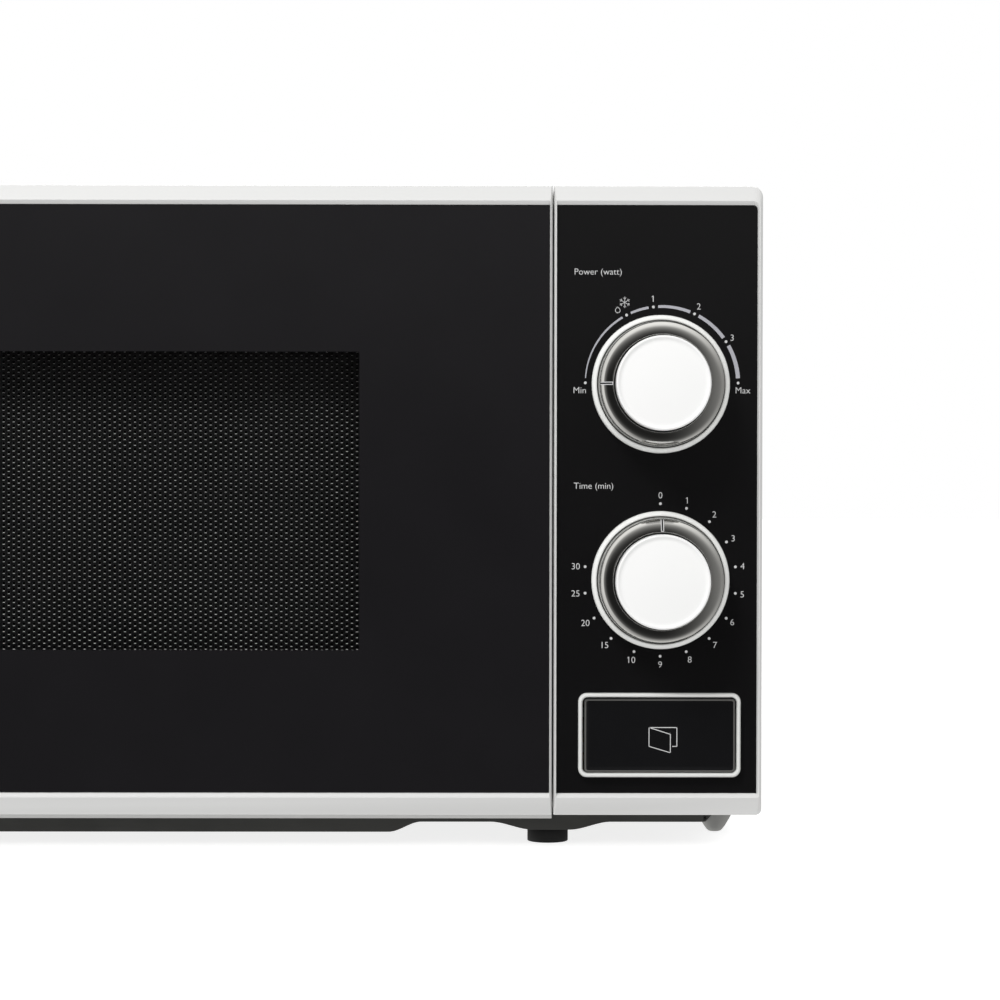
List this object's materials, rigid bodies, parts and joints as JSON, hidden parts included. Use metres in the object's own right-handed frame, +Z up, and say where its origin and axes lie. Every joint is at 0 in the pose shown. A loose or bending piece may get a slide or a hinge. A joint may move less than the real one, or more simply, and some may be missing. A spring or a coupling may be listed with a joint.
{
  "type": "microwave oven",
  "caption": "Countertop microwave oven with a hinged see-through door, two turning dials, a push door release, a glass turntable and its working parts inside.",
  "frame": {"origin": "on the ground under the middle of the object's box", "axes": "+Z up, the front faces -Y, +X to the right as seen from the front"},
  "size_m": [0.452, 0.364, 0.262],
  "materials": {
    "cabinet_white": "satin enamel, fine orange peel",
    "galvanised_steel": "spangled zinc",
    "hinge_steel": "bright zinc plate",
    "cavity_enamel": "semi-gloss grey enamel",
    "frame_white": "gloss white moulding",
    "door_black_glass": "black printed glass with a tinted window",
    "fascia_black": "gloss black panel with pale dial print",
    "door_steel": "black enamelled steel",
    "pane_clear": "clear film",
    "choke_grey": "fine matte moulding",
    "dial_chrome": "bright plated",
    "bezel_silver": "silver paint",
    "button_black": "gloss black",
    "latch_plastic": "natural nylon",
    "spring_steel": "oiled wire",
    "tray_glass": "clear toughened glass",
    "foot_rubber": "matte black",
    "mica_sheet": "pressed mica",
    "magnetron_fins": "sheared sheet",
    "core_iron": "varnished laminations",
    "copper_wire": "enamelled wire",
    "component_dark": "moulded",
    "can_alloy": "drawn can",
    "lamp_glass": "clear bulb in a pale holder",
    "board_green": "circuit board"
  },
  "bodies": {
    "chassis": {"base_plate": "galvanised_steel", "button_bezel": "bezel_silver", "button_spring": "spring_steel", "cable_gland": "foot_rubber", "capacitor_clamp": "galvanised_steel", "case_screws": "hinge_steel", "cavity_floor": "cavity_enamel", "cavity_front_plate": "cabinet_white", "cavity_lamp": "lamp_glass", "cavity_rear_wall": "cavity_enamel", "cavity_wrap": "cavity_enamel", "control_fascia": "fascia_black", "control_panel_frame": "frame_white", "dial_trim_rings": "dial_chrome", "fan_housing": "latch_plastic", "fan_motor": "component_dark", "feet": "foot_rubber", "hinge_brackets": "hinge_steel", "hinge_pins": "hinge_steel", "hv_capacitor": "can_alloy", "hv_diode": "component_dark", "latch_board": "latch_plastic", "magnetron_anode": "magnetron_fins", "magnetron_yoke": "hinge_steel", "microswitches": "component_dark", "noise_filter_board": "board_green", "outer_cabinet": "cabinet_white", "power_selector": "component_dark", "rear_panel": "galvanised_steel", "thermal_cutouts": "component_dark", "timer_body": "component_dark", "transformer_core": "core_iron", "transformer_windings": "copper_wire", "turntable_motor": "hinge_steel", "waveguide": "hinge_steel", "waveguide_cover": "mica_sheet", "wiring_harness": "component_dark"},
    "power_knob": {"power_knob_dome": "dial_chrome", "power_knob_cap": "frame_white", "power_shaft": "spring_steel"},
    "timer_knob": {"timer_knob_dome": "dial_chrome", "timer_knob_cap": "frame_white", "timer_shaft": "spring_steel"},
    "button": {"door_button": "button_black"},
    "lever": {"release_lever": "latch_plastic"},
    "door": {"door_outer_frame": "frame_white", "door_glass": "door_black_glass", "door_choke_frame": "door_steel", "door_screen": "door_steel", "door_inner_pane": "pane_clear", "choke_cover": "choke_grey", "latch_spring": "spring_steel"},
    "hooks": {"latch_hooks": "latch_plastic"},
    "coupler": {"drive_coupler": "latch_plastic"},
    "tray": {"glass_turntable": "tray_glass"},
    "ring": {"roller_ring": "latch_plastic"},
    "roller_a": {"roller_1": "latch_plastic"},
    "roller_b": {"roller_2": "latch_plastic"},
    "roller_c": {"roller_3": "latch_plastic"},
    "fan": {"fan_blade": "latch_plastic"}
  },
  "joints": [
    {"name": "door_hinge", "type": "hinge", "parent": "chassis", "child": "door", "pos_m": [-0.217, -0.141, 0.139], "axis": [0, 0, -1], "range_deg": [0, 100]},
    {"name": "latch_hooks_lift", "type": "slide", "parent": "door", "child": "hooks", "axis": [0, 0, 1], "range_m": [0, 0.0035], "stiffness_N_per_m": 300, "springref_m": -0.004, "deforming": ["latch_spring"]},
    {"name": "power_knob_turn", "type": "hinge", "parent": "chassis", "child": "power_knob", "pos_m": [0.1861, -0.17, 0.1845], "axis": [0, 1, 0], "range_deg": [0, 180]},
    {"name": "timer_knob_turn", "type": "hinge", "parent": "chassis", "child": "timer_knob", "pos_m": [0.1861, -0.17, 0.1081], "axis": [0, 1, 0], "range_deg": [0, 280]},
    {"name": "door_button_push", "type": "slide", "parent": "chassis", "child": "button", "axis": [0, 1, 0], "range_m": [0, 0.0045], "stiffness_N_per_m": 500, "springref_m": -0.003, "deforming": ["button_spring"]},
    {"name": "lever_tilt", "type": "hinge", "parent": "chassis", "child": "lever", "pos_m": [0.15, -0.12, 0.074], "axis": [1, 0, 0], "range_deg": [0, 11]},
    {"name": "turntable_spin", "type": "hinge", "parent": "chassis", "child": "coupler", "pos_m": [-0.041, 0.022, 0.045], "axis": [0, 0, 1], "continuous": true},
    {"name": "tray_lift", "type": "slide", "parent": "coupler", "child": "tray", "axis": [0, 0, 1], "range_m": [0, 0.03]},
    {"name": "roller_ring_turn", "type": "hinge", "parent": "chassis", "child": "ring", "pos_m": [-0.041, 0.022, 0.0428], "axis": [0, 0, 1], "continuous": true},
    {"name": "roller_1_roll", "type": "hinge", "parent": "ring", "child": "roller_a", "pos_m": [0.054, 0.022, 0.0428], "axis": [1, 0, 0], "continuous": true},
    {"name": "roller_2_roll", "type": "hinge", "parent": "ring", "child": "roller_b", "pos_m": [-0.0885, 0.10427, 0.0428], "axis": [-0.5, 0.866, 0], "continuous": true},
    {"name": "roller_3_roll", "type": "hinge", "parent": "ring", "child": "roller_c", "pos_m": [-0.0885, -0.06027, 0.0428], "axis": [-0.5, -0.866, 0], "continuous": true},
    {"name": "fan_spin", "type": "hinge", "parent": "chassis", "child": "fan", "pos_m": [0.1685, 0.134, 0.19], "axis": [0, 1, 0], "continuous": true}
  ],
  "couplings": [
    {"joint": "lever_tilt", "follows": "door_button_push", "rad_per_m": 40},
    {"joint": "latch_hooks_lift", "follows": "door_button_push", "ratio": 0.75},
    {"joint": "roller_ring_turn", "follows": "turntable_spin", "ratio": 0.5},
    {"joint": "roller_1_roll", "follows": "turntable_spin", "ratio": -6.7857},
    {"joint": "roller_2_roll", "follows": "turntable_spin", "ratio": -6.7857},
    {"joint": "roller_3_roll", "follows": "turntable_spin", "ratio": -6.7857}
  ]
}
